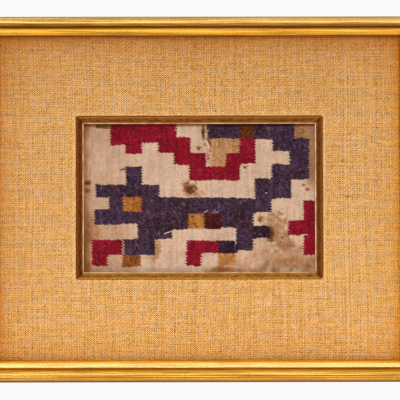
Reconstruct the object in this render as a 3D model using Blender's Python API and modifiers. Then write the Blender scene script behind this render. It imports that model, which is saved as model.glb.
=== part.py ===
"""A fragment of tapestry-woven cloth in a gilt frame: moulding, linen-covered mat, slip, textile and backing board.

The frame stands upright and faces -Y. Its back lies in the plane y = 0, against the wall. The origin is the middle of
the top rail's back, where the wall takes it. All sizes are in metres.
"""

import math

import bmesh
import bpy
from mathutils import Vector, noise

MM = 0.001

# The gap that neighbouring pieces keep
GAP = 0.3 * MM

# The moulding: its outer rectangle, and its section from the outer side to the sight edge
OUTER_WIDTH = 407.0 * MM
OUTER_HEIGHT = 337.0 * MM
RAIL_WIDTH = 19.5 * MM
RAIL_DEPTH = 22.0 * MM
SHOULDER_DEPTH = 5.0 * MM
CREST_INSET = 7.1 * MM
SHOULDER_TURNS = (0.0, 15.0, 30.0, 42.0, 50.0, 67.0, 84.5, 90.0)
REED_TURNS = (59.5, 74.5)
REED_HALF_TURN = 4.5
REED_DEPTH = 0.4 * MM
CREST_FALL_SHARES = (0.35, 0.65, 0.88, 1.0)
GROOVE_INSET = 11.5 * MM
GROOVE_DEPTH = 18.7 * MM
BEAD_RADIUS = 4.0 * MM
BEAD_CENTRE_DEPTH = 17.6 * MM
BEAD_STEPS = 12
BEAD_START_TURN = 16.0
RABBET_WIDTH = 6.0 * MM
RABBET_DEPTH = 16.0 * MM

# The mat and its linen, both tucked under the rail's lip, and the window cut through them
TUCK = 5.0 * MM
WINDOW_WIDTH = 226.0 * MM
WINDOW_HEIGHT = 150.0 * MM
WINDOW_RISE = 1.0 * MM
LINEN_THICKNESS = 1.0 * MM
LINEN_TURN_RADIUS = 1.6 * MM
LINEN_TURN_STEPS = 4
MAT_THICKNESS = 3.0 * MM

# The slip: a flange under the mat, a sloping band and a lip
FLANGE_WIDTH = 6.0 * MM
FLANGE_THICKNESS = 1.6 * MM
BAND_WIDTH = 5.2 * MM
BAND_TOP_DEPTH = 14.3 * MM
BAND_FOOT_DEPTH = 11.3 * MM
LIP_WIDTH = 1.3 * MM
LIP_STEPS = 6

# The textile: a thin sheet that isn't quite flat, with edges that aren't quite straight
TEXTILE_THICKNESS = 1.1 * MM
TEXTILE_TUCK = 4.6 * MM
TEXTILE_COLUMNS = 30
TEXTILE_ROWS = 20
TEXTILE_RELIEF = 0.2 * MM
TEXTILE_RAGGED = 0.9 * MM
RELIEF_SCALE = 28.0

BOARD_THICKNESS = 3.0 * MM
BOARD_PLAY = 1.0 * MM
EDGE_SOFTENING = 0.3 * MM

# Depths from the wall, worked out from the rail's lip backwards
LINEN_FRONT = RABBET_DEPTH - GAP
LINEN_BACK = LINEN_FRONT - LINEN_THICKNESS
MAT_FRONT = LINEN_BACK - GAP
MAT_BACK = MAT_FRONT - MAT_THICKNESS
FLANGE_FRONT = MAT_BACK - GAP
SLIP_BACK = FLANGE_FRONT - FLANGE_THICKNESS
TEXTILE_FRONT = SLIP_BACK - GAP - TEXTILE_RELIEF
TEXTILE_BACK = TEXTILE_FRONT - TEXTILE_THICKNESS
BOARD_FRONT = TEXTILE_BACK - TEXTILE_RELIEF - GAP
BOARD_BACK = BOARD_FRONT - BOARD_THICKNESS

SIGHT_WIDTH = OUTER_WIDTH - 2 * RAIL_WIDTH
SIGHT_HEIGHT = OUTER_HEIGHT - 2 * RAIL_WIDTH
BACK_STRIP = RAIL_WIDTH - RABBET_WIDTH

# Heights of the frame's centre and of the window's centre, from the origin on the top rail's back
CENTRE_Z = -(OUTER_HEIGHT - BACK_STRIP) / 2
WINDOW_Z = CENTRE_Z + WINDOW_RISE

GILT = ((0.62, 0.36, 0.09), 0.38, 0.85)
SLIP_GILT = ((0.42, 0.20, 0.05), 0.42, 0.7)
LINEN = ((0.68, 0.37, 0.14), 0.95, 0.0)
MAT = ((0.62, 0.55, 0.44), 0.9, 0.0)
TEXTILE = ((0.62, 0.42, 0.30), 0.95, 0.0)
BOARD = ((0.34, 0.22, 0.12), 0.9, 0.0)

# Each side of a rectangle: its name, its turn about Y from the bottom side, and whether it runs along the width
SIDES = (
    ("bottom", 0.0, True),
    ("right", -0.5 * math.pi, False),
    ("top", math.pi, True),
    ("left", 0.5 * math.pi, False),
)


def clear_scene():
    for item in list(bpy.data.objects):
        bpy.data.objects.remove(item, do_unlink=True)


def make_collection(name):
    collection = bpy.data.collections.new(name)
    bpy.context.scene.collection.children.link(collection)
    return collection


def make_material(name, finish):
    colour, roughness, metallic = finish
    material = bpy.data.materials.new(name)
    material.use_nodes = True
    shader = material.node_tree.nodes["Principled BSDF"]
    shader.inputs["Base Color"].default_value = (*colour, 1.0)
    shader.inputs["Roughness"].default_value = roughness
    shader.inputs["Metallic"].default_value = metallic
    material.diffuse_color = (*colour, 1.0)
    return material


def add_object(name, bm, collection, finish):
    """Puts a bmesh into a new object with a material of its own."""
    mesh = bpy.data.meshes.new(name)
    bm.to_mesh(mesh)
    bm.free()
    item = bpy.data.objects.new(name, mesh)
    collection.objects.link(item)
    mesh.materials.append(make_material(name, finish))
    return item


def rail_section():
    """The moulding's outline as (inset, depth) points: the outer side, shoulder, crest, groove, bead and rabbet."""
    points = [(0.0, 0.0)]
    turns = list(SHOULDER_TURNS)
    for reed in REED_TURNS:
        turns += [reed - REED_HALF_TURN, reed, reed + REED_HALF_TURN]
    rise = RAIL_DEPTH - SHOULDER_DEPTH
    for turn in sorted(turns):
        angle = math.radians(turn)
        inset = CREST_INSET * (1 - math.cos(angle))
        depth = SHOULDER_DEPTH + rise * math.sin(angle)
        if turn in REED_TURNS:
            outward = Vector((-math.cos(angle) / CREST_INSET, math.sin(angle) / rise)).normalized()
            inset -= REED_DEPTH * outward.x
            depth -= REED_DEPTH * outward.y
        points.append((inset, depth))
    for share in CREST_FALL_SHARES:
        fall = (RAIL_DEPTH - GROOVE_DEPTH) * (1 - math.cos(share * math.pi / 2))
        points.append((CREST_INSET + (GROOVE_INSET - CREST_INSET) * share, RAIL_DEPTH - fall))
    for step in range(BEAD_STEPS + 1):
        angle = math.radians(BEAD_START_TURN + (180.0 - BEAD_START_TURN) * step / BEAD_STEPS)
        inset = RAIL_WIDTH - BEAD_RADIUS * (1 + math.cos(angle))
        points.append((inset, BEAD_CENTRE_DEPTH + BEAD_RADIUS * math.sin(angle)))
    points += [(RAIL_WIDTH, RABBET_DEPTH), (BACK_STRIP, RABBET_DEPTH), (BACK_STRIP, 0.0)]
    return points


def slip_section():
    """The slip's outline as (inset, depth) points: the flange, the sloping band and the rounded lip."""
    band_start = FLANGE_WIDTH + GAP
    band_end = band_start + BAND_WIDTH
    points = [(0.0, SLIP_BACK), (0.0, FLANGE_FRONT), (band_start, FLANGE_FRONT), (band_start, BAND_TOP_DEPTH)]
    for step in range(LIP_STEPS + 1):
        angle = math.pi * step / LIP_STEPS
        inset = band_end + 0.5 * LIP_WIDTH * (1 - math.cos(angle))
        points.append((inset, BAND_FOOT_DEPTH + 0.5 * LIP_WIDTH * math.sin(angle)))
    points.append((band_end + LIP_WIDTH, SLIP_BACK))
    return points


def make_mitred_side(name, section, width, height, centre_z, side, collection, finish):
    """One length of a mitred rectangle: the section is swept along the side, and its ends are cut back by the inset."""
    _, turn, along_width = side
    run, across = (width, height) if along_width else (height, width)
    bm = bmesh.new()
    corners = [bm.verts.new((-0.5 * run, -depth, inset)) for inset, depth in section]
    outline = bm.faces.new(corners)
    swept = bmesh.ops.extrude_face_region(bm, geom=[outline])
    far_end = [item for item in swept["geom"] if isinstance(item, bmesh.types.BMVert)]
    bmesh.ops.translate(bm, verts=far_end, vec=(run, 0.0, 0.0))
    end_gap = GAP * math.sqrt(0.5)
    for vert in bm.verts:
        vert.co.x -= math.copysign(vert.co.z + end_gap, vert.co.x)
    bmesh.ops.translate(bm, verts=bm.verts, vec=(0.0, 0.0, -0.5 * across))
    bmesh.ops.recalc_face_normals(bm, faces=bm.faces)
    item = add_object(name, bm, collection, finish)
    item.rotation_euler.y = turn
    item.location.z = centre_z
    return item


def make_board(name, width, height, centre_z, back, thickness, collection, finish):
    """A flat board whose back lies at the depth given."""
    bm = bmesh.new()
    bmesh.ops.create_cube(bm, size=1.0)
    bmesh.ops.scale(bm, verts=bm.verts, vec=(width, thickness, height))
    item = add_object(name, bm, collection, finish)
    item.location = (0.0, -(back + 0.5 * thickness), centre_z)
    return item


def make_mat_board(collection, cutters):
    """The board under the linen, with its window cut by a block. The linen's turned edge goes through the window."""
    board = make_board(
        "mat_board", SIGHT_WIDTH + 2 * TUCK, SIGHT_HEIGHT + 2 * TUCK, CENTRE_Z, MAT_BACK, MAT_THICKNESS, collection, MAT
    )
    room = 2 * (LINEN_THICKNESS + GAP)
    block = make_board(
        "window_cutter", WINDOW_WIDTH + room, WINDOW_HEIGHT + room, WINDOW_Z, 0.0, RAIL_DEPTH, cutters, MAT
    )
    block.hide_render = True
    block.display_type = "WIRE"
    cut = board.modifiers.new("window", "BOOLEAN")
    cut.operation = "DIFFERENCE"
    cut.solver = "EXACT"
    cut.object = block
    return board


def linen_path():
    """The linen's run as (distance out from the window, depth) points of its face, from its rim into the window."""
    path = []
    for step in range(LINEN_TURN_STEPS + 1):
        angle = 0.5 * math.pi * step / LINEN_TURN_STEPS
        out = LINEN_TURN_RADIUS * (1 - math.sin(angle))
        path.append((out, LINEN_FRONT - LINEN_TURN_RADIUS * (1 - math.cos(angle))))
    path.append((0.0, MAT_BACK))
    return path


def make_linen(collection):
    """The linen cover: a face drawn from its outer rim to the window and turned down into it, then given thickness."""
    bm = bmesh.new()
    half_width = 0.5 * SIGHT_WIDTH + TUCK
    half_height = 0.5 * SIGHT_HEIGHT + TUCK
    signs = ((-1, -1), (1, -1), (1, 1), (-1, 1))
    loop = [bm.verts.new((x * half_width, -LINEN_FRONT, CENTRE_Z + z * half_height)) for x, z in signs]
    edges = [bm.edges.new((loop[k], loop[(k + 1) % 4])) for k in range(4)]
    for out, depth in linen_path():
        grown = bmesh.ops.extrude_edge_only(bm, edges=edges)["geom"]
        edges = [item for item in grown if isinstance(item, bmesh.types.BMEdge)]
        for vert in [item for item in grown if isinstance(item, bmesh.types.BMVert)]:
            x = math.copysign(0.5 * WINDOW_WIDTH + out, vert.co.x)
            z = WINDOW_Z + math.copysign(0.5 * WINDOW_HEIGHT + out, vert.co.z - WINDOW_Z)
            vert.co = (x, -depth, z)
    bmesh.ops.recalc_face_normals(bm, faces=bm.faces)
    facing = max(bm.faces, key=lambda face: face.calc_area())
    if facing.normal.y > 0:
        bmesh.ops.reverse_faces(bm, faces=bm.faces)
    cover = add_object("linen_cover", bm, collection, LINEN)
    wall = cover.modifiers.new("cloth", "SOLIDIFY")
    wall.thickness = LINEN_THICKNESS
    wall.offset = -1.0
    wall.use_even_offset = True
    return cover


def make_textile(collection):
    """The fragment: a grid with low swells and slightly wandering edges, given the cloth's thickness."""
    lap = FLANGE_WIDTH + GAP + BAND_WIDTH + LIP_WIDTH
    sight_width = WINDOW_WIDTH - 2 * (lap - FLANGE_WIDTH)
    sight_height = WINDOW_HEIGHT - 2 * (lap - FLANGE_WIDTH)
    half_width = 0.5 * sight_width + TEXTILE_TUCK
    half_height = 0.5 * sight_height + TEXTILE_TUCK
    bm = bmesh.new()
    bmesh.ops.create_grid(bm, x_segments=TEXTILE_COLUMNS, y_segments=TEXTILE_ROWS, size=1.0)
    for vert in bm.verts:
        u, v = vert.co.x, vert.co.y
        x, z = u * half_width, v * half_height
        swell = noise.noise(Vector((x * RELIEF_SCALE, 1.7, z * RELIEF_SCALE)))
        wander_x = noise.noise(Vector((4.1, z * 3 * RELIEF_SCALE, math.copysign(1.0, u))))
        wander_z = noise.noise(Vector((x * 3 * RELIEF_SCALE, 7.3, math.copysign(1.0, v))))
        x += TEXTILE_RAGGED * wander_x * u ** 8
        z += TEXTILE_RAGGED * wander_z * v ** 8
        vert.co = (x, -(TEXTILE_FRONT + TEXTILE_RELIEF * max(-1.0, min(1.0, swell))), WINDOW_Z + z)
    bmesh.ops.recalc_face_normals(bm, faces=bm.faces)
    if next(iter(bm.faces)).normal.y > 0:
        bmesh.ops.reverse_faces(bm, faces=bm.faces)
    cloth = add_object("textile", bm, collection, TEXTILE)
    wall = cloth.modifiers.new("cloth", "SOLIDIFY")
    wall.thickness = TEXTILE_THICKNESS
    wall.offset = -1.0
    return cloth


def make_backing(collection):
    """The board that closes the rabbet behind, with softened edges."""
    inside_width = OUTER_WIDTH - 2 * (BACK_STRIP + BOARD_PLAY)
    inside_height = OUTER_HEIGHT - 2 * (BACK_STRIP + BOARD_PLAY)
    board = make_board(
        "backing_board", inside_width, inside_height, CENTRE_Z, BOARD_BACK, BOARD_THICKNESS, collection, BOARD
    )
    soft = board.modifiers.new("edges", "BEVEL")
    soft.width = EDGE_SOFTENING
    soft.segments = 1
    return board


def build():
    clear_scene()
    parts = make_collection("framed_textile")
    cutters = make_collection("cutters")
    flange_width = WINDOW_WIDTH + 2 * FLANGE_WIDTH
    flange_height = WINDOW_HEIGHT + 2 * FLANGE_WIDTH
    for side in SIDES:
        name = side[0]
        make_mitred_side(name + "_rail", rail_section(), OUTER_WIDTH, OUTER_HEIGHT, CENTRE_Z, side, parts, GILT)
        make_mitred_side(
            name + "_slip", slip_section(), flange_width, flange_height, WINDOW_Z, side, parts, SLIP_GILT
        )
    make_mat_board(parts, cutters)
    make_linen(parts)
    make_textile(parts)
    make_backing(parts)


build()
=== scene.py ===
import bpy
import math
import numpy as np
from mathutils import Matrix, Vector


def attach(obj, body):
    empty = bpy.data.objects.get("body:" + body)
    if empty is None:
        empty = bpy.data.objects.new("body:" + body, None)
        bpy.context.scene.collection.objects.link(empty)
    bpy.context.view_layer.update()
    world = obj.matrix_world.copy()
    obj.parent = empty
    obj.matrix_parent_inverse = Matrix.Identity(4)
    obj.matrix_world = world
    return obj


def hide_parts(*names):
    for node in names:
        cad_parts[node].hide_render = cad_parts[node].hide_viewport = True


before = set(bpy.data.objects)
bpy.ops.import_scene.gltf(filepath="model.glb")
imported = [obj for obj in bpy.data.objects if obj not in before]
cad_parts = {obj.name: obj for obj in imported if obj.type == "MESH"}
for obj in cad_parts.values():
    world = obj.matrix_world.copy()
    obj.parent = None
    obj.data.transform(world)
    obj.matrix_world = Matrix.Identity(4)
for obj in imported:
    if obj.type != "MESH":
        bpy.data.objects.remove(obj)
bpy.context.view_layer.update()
print("frame loaded:", len(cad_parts), "nodes")

mm = 0.001


# Light and camera

studio = {
    "viewElevation": -4.5,    # degrees; the frame hangs a little above the lens
    "viewAzimuth": -0.58,
    "viewRoll": 0.14,
    "viewDistance": 6.0,      # m
    "lens": 586.6,
    "aim": (0.00063, 0.0, -0.16225),
    "surround": 0.45,         # strength of the white surround
    "softboxes": (            # name, place, width and height in m, power in W
        ("overhead_softbox", (-0.25, -1.1, 1.8), (1.6, 1.4), 12.5),
        ("high_front_softbox", (-0.3, -2.9, 1.5), (1.5, 0.8), 32.0),
        ("front_softbox", (0.5, -7.4, -0.4), (2.6, 1.5), 130.0),
        ("low_reflector", (0.0, -0.14, -0.52), (0.9, 0.2), 1.4),
    ),
    "floorHeight": -1.75,
    "floorSize": 12.0,
}


def aimAt(obj, target):
    obj.rotation_euler = (Vector(target) - obj.location).to_track_quat("-Z", "Y").to_euler()


def setCamera():
    # The camera stands on a line from the aim, turned by azimuth and lowered by elevation
    elevation = math.radians(studio["viewElevation"])
    azimuth = math.radians(studio["viewAzimuth"])
    away = Vector((math.sin(azimuth) * math.cos(elevation), -math.cos(azimuth) * math.cos(elevation),
                   math.sin(elevation)))
    data = bpy.data.cameras.new("photo_camera")
    data.lens = studio["lens"]
    data.sensor_width = 36.0
    data.clip_start = 0.1
    data.clip_end = 60.0
    camera = bpy.data.objects.new("photo_camera", data)
    camera.location = Vector(studio["aim"]) + studio["viewDistance"] * away
    aimAt(camera, studio["aim"])
    camera.rotation_euler.rotate_axis("Z", -math.radians(studio["viewRoll"]))
    bpy.context.scene.collection.objects.link(camera)
    bpy.context.scene.camera = camera


def setLights():
    world = bpy.data.worlds.new("white_surround")
    world.use_nodes = True
    tree = world.node_tree
    backdrop = tree.nodes["Background"]
    backdrop.inputs["Color"].default_value = (1.0, 1.0, 1.0, 1.0)
    backdrop.inputs["Strength"].default_value = 0.96
    fill = tree.nodes.new("ShaderNodeBackground")
    fill.inputs["Color"].default_value = (1.0, 0.985, 0.96, 1.0)
    fill.inputs["Strength"].default_value = studio["surround"]
    rays = tree.nodes.new("ShaderNodeLightPath")
    mix = tree.nodes.new("ShaderNodeMixShader")
    tree.links.new(rays.outputs["Is Camera Ray"], mix.inputs["Fac"])
    tree.links.new(fill.outputs["Background"], mix.inputs[1])
    tree.links.new(backdrop.outputs["Background"], mix.inputs[2])
    tree.links.new(mix.outputs["Shader"], tree.nodes["World Output"].inputs["Surface"])
    bpy.context.scene.world = world
    for name, place, size, power in studio["softboxes"]:
        light = bpy.data.lights.new(name, "AREA")
        light.shape = "RECTANGLE"
        light.size, light.size_y = size
        light.energy = power
        light.color = (1.0, 0.97, 0.92)
        lamp = bpy.data.objects.new(name, light)
        lamp.location = place
        lamp.visible_camera = False
        aimAt(lamp, studio["aim"])
        bpy.context.scene.collection.objects.link(lamp)


setCamera()
setLights()
scene = bpy.context.scene
scene.view_settings.view_transform = "Standard"
scene.view_settings.look = "None"
print("camera and lights set")


# Smooth noise on arrays

def latticeNoise(x, y, seed):
    # Random values on whole-number points, joined by smooth steps; 0 to 1
    table = np.random.default_rng(seed).random((128, 128))
    xi = np.floor(x).astype(int)
    yi = np.floor(y).astype(int)
    fx = x - xi
    fy = y - yi
    fx = fx * fx * (3 - 2 * fx)
    fy = fy * fy * (3 - 2 * fy)
    a = table[xi % 128, yi % 128]
    b = table[(xi + 1) % 128, yi % 128]
    c = table[xi % 128, (yi + 1) % 128]
    d = table[(xi + 1) % 128, (yi + 1) % 128]
    return (a * (1 - fx) + b * fx) * (1 - fy) + (c * (1 - fx) + d * fx) * fy


def cloudNoise(x, y, seed, octaves=3):
    # Octaves of lattice noise at half the size and half the strength each; 0 to 1
    total = np.zeros(np.broadcast(x, y).shape)
    weight = 0.0
    for octave in range(octaves):
        share = 0.5 ** octave
        total = total + share * latticeNoise(x * 2 ** octave, y * 2 ** octave, seed + octave)
        weight += share
    return total / weight


def smoothStep(low, high, value):
    t = np.clip((value - low) / (high - low), 0.0, 1.0)
    return t * t * (3 - 2 * t)


# Mesh making

def gridCorners(rows, columns, closeRows=False, closeColumns=False):
    # Corner indices of a grid's quads, in vertex numbers and in unwrapped row and column numbers
    rowCount = rows if closeRows else rows - 1
    columnCount = columns if closeColumns else columns - 1
    r, c = np.meshgrid(np.arange(rowCount), np.arange(columnCount), indexing="ij")
    r = r.ravel()[:, None] + np.array([0, 1, 1, 0])
    c = c.ravel()[:, None] + np.array([0, 0, 1, 1])
    return (r % rows) * columns + c % columns, r, c


def signedVolume(points, quads):
    # Six times less than the sum of each half quad's corner dotted with the cross product of the others
    a, b, c, d = (points[quads[:, k]] for k in range(4))
    firstHalves = np.einsum("ij,ij->i", a, np.cross(b, c)).sum()
    return (firstHalves + np.einsum("ij,ij->i", a, np.cross(c, d)).sum()) / 6


def addMesh(name, points, quads, polygons=(), maps=None, values=None, colours=None, smooth=True):
    # One mesh object at the origin from quads and a few larger faces; maps hold a value for each corner
    mesh = bpy.data.meshes.new(name)
    sizes = np.array([4] * len(quads) + [len(p) for p in polygons])
    loops = np.concatenate([quads.ravel()] + [np.asarray(p) for p in polygons])
    mesh.vertices.add(len(points))
    mesh.vertices.foreach_set("co", np.ascontiguousarray(points, dtype=np.float32).ravel())
    mesh.loops.add(len(loops))
    mesh.loops.foreach_set("vertex_index", loops.astype(np.int32))
    mesh.polygons.add(len(sizes))
    mesh.polygons.foreach_set("loop_start", (np.cumsum(sizes) - sizes).astype(np.int32))
    mesh.update(calc_edges=True)
    for mapName, corners in (maps or {}).items():
        layer = mesh.uv_layers.new(name=mapName)
        layer.data.foreach_set("uv", np.ascontiguousarray(corners, dtype=np.float32).ravel())
    for valueName, value in (values or {}).items():
        layer = mesh.attributes.new(valueName, "FLOAT", "POINT")
        layer.data.foreach_set("value", np.ascontiguousarray(value, dtype=np.float32).ravel())
    for colourName, colour in (colours or {}).items():
        layer = mesh.color_attributes.new(colourName, "FLOAT_COLOR", "POINT")
        rgba = np.concatenate([colour, np.ones((len(colour), 1))], axis=1)
        layer.data.foreach_set("color", rgba.astype(np.float32).ravel())
    mesh.polygons.foreach_set("use_smooth", np.full(len(sizes), smooth))
    mesh.validate()
    obj = bpy.data.objects.new(name, mesh)
    bpy.context.scene.collection.objects.link(obj)
    return obj


# Node helpers and groups that several materials use

def addNode(tree, kind, inputs=None, **settings):
    node = tree.nodes.new(kind)
    for name, value in settings.items():
        setattr(node, name, value)
    for name, value in (inputs or {}).items():
        if isinstance(value, bpy.types.NodeSocket):
            tree.links.new(value, node.inputs[name])
        else:
            node.inputs[name].default_value = value
    return node


def mixColour(tree, factor, first, second, blend="MIX"):
    node = addNode(tree, "ShaderNodeMix", data_type="RGBA", blend_type=blend)
    for index, value in ((0, factor), (6, first), (7, second)):
        if isinstance(value, bpy.types.NodeSocket):
            tree.links.new(value, node.inputs[index])
        elif index == 0:
            node.inputs[index].default_value = value
        else:
            node.inputs[index].default_value = (*value, 1.0)
    return node.outputs[2]


def doMath(tree, operation, first, second=0.0, clamp=False):
    node = addNode(tree, "ShaderNodeMath", {0: first, 1: second}, operation=operation)
    node.use_clamp = clamp
    return node.outputs["Value"]


def mapRange(tree, value, low, high, toLow=0.0, toHigh=1.0):
    node = addNode(tree, "ShaderNodeMapRange", {
        "Value": value, "From Min": low, "From Max": high, "To Min": toLow, "To Max": toHigh})
    return node.outputs["Result"]


def newMaterial(name):
    material = bpy.data.materials.new(name)
    material.use_nodes = True
    tree = material.node_tree
    return material, tree, tree.nodes["Principled BSDF"]


def startGroup(name, inputs, outputs):
    tree = bpy.data.node_groups.new(name, "ShaderNodeTree")
    for socketName, kind, value in inputs:
        socket = tree.interface.new_socket(name=socketName, in_out="INPUT", socket_type=kind)
        if value is not None:
            socket.default_value = value
    for socketName, kind in outputs:
        tree.interface.new_socket(name=socketName, in_out="OUTPUT", socket_type=kind)
    return tree, tree.nodes.new("NodeGroupInput"), tree.nodes.new("NodeGroupOutput")


def useGroup(tree, group, inputs):
    node = tree.nodes.new("ShaderNodeGroup")
    node.node_tree = group
    for name, value in inputs.items():
        if isinstance(value, bpy.types.NodeSocket):
            tree.links.new(value, node.inputs[name])
        else:
            node.inputs[name].default_value = value
    return node


def makeStreakGroup():
    # Noise drawn out along one direction: the vector is scaled by Along and Across first
    tree, given, result = startGroup("drawn_streaks", [
        ("Vector", "NodeSocketVector", None), ("Along", "NodeSocketFloat", 20.0),
        ("Across", "NodeSocketFloat", 600.0), ("Low", "NodeSocketFloat", 0.4),
        ("High", "NodeSocketFloat", 0.6)], [("Mask", "NodeSocketFloat"), ("Plain", "NodeSocketFloat")])
    scales = addNode(tree, "ShaderNodeCombineXYZ", {
        "X": given.outputs["Along"], "Y": given.outputs["Across"], "Z": given.outputs["Across"]})
    scaled = addNode(tree, "ShaderNodeVectorMath", {
        0: given.outputs["Vector"], 1: scales.outputs["Vector"]}, operation="MULTIPLY")
    noise = addNode(tree, "ShaderNodeTexNoise", {
        "Vector": scaled.outputs["Vector"], "Scale": 1.0, "Detail": 4.0, "Roughness": 0.6})
    ramp = addNode(tree, "ShaderNodeMapRange", {
        "Value": noise.outputs["Fac"], "From Min": given.outputs["Low"], "From Max": given.outputs["High"]},
        interpolation_type="SMOOTHSTEP")
    tree.links.new(ramp.outputs["Result"], result.inputs["Mask"])
    tree.links.new(noise.outputs["Fac"], result.inputs["Plain"])
    return tree


def makeSpeckGroup():
    # Small separate spots: the middles of Voronoi cells, kept where a second noise is high
    tree, given, result = startGroup("small_specks", [
        ("Vector", "NodeSocketVector", None), ("Scale", "NodeSocketFloat", 150.0),
        ("Size", "NodeSocketFloat", 0.2), ("Share", "NodeSocketFloat", 0.5)], [("Mask", "NodeSocketFloat")])
    cells = addNode(tree, "ShaderNodeTexVoronoi", {
        "Vector": given.outputs["Vector"], "Scale": given.outputs["Scale"]})
    spot = addNode(tree, "ShaderNodeMapRange", {
        "Value": cells.outputs["Distance"], "From Min": given.outputs["Size"], "From Max": 0.0},
        interpolation_type="SMOOTHSTEP")
    chosen = addNode(tree, "ShaderNodeSeparateColor", {"Color": cells.outputs["Color"]})
    kept = addNode(tree, "ShaderNodeMath", {
        0: chosen.outputs["Red"], 1: given.outputs["Share"]}, operation="LESS_THAN")
    mask = addNode(tree, "ShaderNodeMath", {
        0: spot.outputs["Result"], 1: kept.outputs["Value"]}, operation="MULTIPLY")
    tree.links.new(mask.outputs["Value"], result.inputs["Mask"])
    return tree


streakGroup = makeStreakGroup()
speckGroup = makeSpeckGroup()


def streaks(tree, vector, along, across, low, high):
    return useGroup(tree, streakGroup, {
        "Vector": vector, "Along": along, "Across": across, "Low": low, "High": high})


def tint(tree, colour, by):
    return mixColour(tree, 1.0, colour, by, "MULTIPLY")


def glaze(tree, mask, strength, under, over):
    # A second colour laid over the first where the mask is, at this strength
    return mixColour(tree, doMath(tree, "MULTIPLY", mask, strength), under, over)


def setRoughness(tree, shader, noise, smoothest, roughest):
    tree.links.new(mapRange(tree, noise, 0.3, 0.7, smoothest, roughest), shader.inputs["Roughness"])


def uvVector(tree, name):
    return addNode(tree, "ShaderNodeUVMap", uv_map=name).outputs["UV"]


def objectVector(tree):
    return addNode(tree, "ShaderNodeTexCoord").outputs["Object"]


def attributeValue(tree, name):
    return addNode(tree, "ShaderNodeAttribute", attribute_name=name).outputs["Fac"]


def setBump(tree, shader, height, strength, distance):
    bump = addNode(tree, "ShaderNodeBump", {"Height": height, "Strength": strength, "Distance": distance})
    tree.links.new(bump.outputs["Normal"], shader.inputs["Normal"])
    return bump


# Materials

def makeRailGilt():
    # Leaf over red clay: bright and tan leaf in streaks, olive tarnish, clay in the grooves with more as
    # painted shade where a length faces away from the light, pale leaf as painted highlight on high parts,
    # raw wood behind
    material, tree, shader = newMaterial("rail_gilding")
    along = uvVector(tree, "run")
    # Clay in the low parts, with more as painted shade where a length faces away from the light
    clayAndShade = attributeValue(tree, "clayAndShade")
    warm = attributeValue(tree, "warm")
    bare = attributeValue(tree, "bare")
    broad = streaks(tree, along, 8.0, 560.0, 0.42, 0.6)
    fine = streaks(tree, along, 40.0, 1500.0, 0.42, 0.7)
    tarnish = streaks(tree, along, 13.0, 600.0, 0.53, 0.64)
    leaf = mixColour(tree, broad.outputs["Mask"], (0.6, 0.34, 0.045), (0.88, 0.6, 0.2))
    leaf = glaze(tree, attributeValue(tree, "shoulder"), 0.75, leaf, (0.76, 0.46, 0.2))
    bead = mixColour(tree, broad.outputs["Mask"], (0.74, 0.33, 0.006), (0.88, 0.48, 0.045))
    leaf = mixColour(tree, warm, leaf, bead)
    leaf = mixColour(tree, attributeValue(tree, "honey"), leaf, tint(tree, leaf, (1.0, 0.86, 0.45)))
    # Painted highlight: pale leaf on the bottom bead's crown and the top rail's crest, and painted light on
    # the top rail's shoulder
    leaf = mixColour(tree, attributeValue(tree, "brightened"), leaf, (0.98, 0.78, 0.36))
    leaf = glaze(tree, fine.outputs["Mask"], 0.3, leaf, (0.42, 0.19, 0.03))
    leaf = glaze(tree, tarnish.outputs["Mask"], 0.55, leaf, (0.2, 0.11, 0.015))
    hairlines = streaks(tree, along, 6.0, 1000.0, 0.55, 0.62)
    leaf = glaze(tree, hairlines.outputs["Mask"], 0.75, leaf, (0.2, 0.085, 0.008))
    mottle = streaks(tree, along, 600.0, 1000.0, 0.42, 0.62)
    leaf = glaze(tree, mottle.outputs["Mask"], 0.6, leaf, tint(tree, leaf, (0.6, 0.48, 0.34)))
    clay = mixColour(tree, fine.outputs["Plain"], (0.07, 0.01, 0.0003), (0.26, 0.07, 0.004))
    low = doMath(tree, "ADD", clayAndShade, doMath(tree, "MULTIPLY", fine.outputs["Mask"], 0.25))
    low = mapRange(tree, low, 0.25, 0.95)
    gold = mixColour(tree, low, leaf, clay)
    grain = streaks(tree, along, 14.0, 900.0, 0.3, 0.7)
    wood = mixColour(tree, grain.outputs["Mask"], (0.5, 0.32, 0.17), (0.72, 0.53, 0.33))
    tree.links.new(mixColour(tree, bare, gold, wood), shader.inputs["Base Color"])
    covered = doMath(tree, "SUBTRACT", 1.0, bare, clamp=True)
    shine = doMath(tree, "MULTIPLY", doMath(tree, "SUBTRACT", 1.0, low, clamp=True), covered)
    tree.links.new(doMath(tree, "MULTIPLY", shine, 0.62), shader.inputs["Metallic"])
    rough = mapRange(tree, broad.outputs["Plain"], 0.3, 0.7, 0.4, 0.58)
    shader.inputs["Specular IOR Level"].default_value = 0.12
    shader.inputs["Specular Tint"].default_value = (1.0, 0.62, 0.18, 1.0)
    polished = doMath(tree, "MULTIPLY", shine, attributeValue(tree, "polish"))
    tree.links.new(polished, shader.inputs["Coat Weight"])
    shader.inputs["Coat Roughness"].default_value = 0.3
    rough = doMath(tree, "ADD", rough, doMath(tree, "MULTIPLY", low, 0.2))
    tree.links.new(doMath(tree, "ADD", rough, doMath(tree, "MULTIPLY", bare, 0.3), clamp=True),
                   shader.inputs["Roughness"])
    grainHeight = doMath(tree, "MULTIPLY", grain.outputs["Plain"], 0.6)
    height = doMath(tree, "ADD", fine.outputs["Plain"], grainHeight)
    setBump(tree, shader, height, 0.35, 0.0003)
    return material


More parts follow.
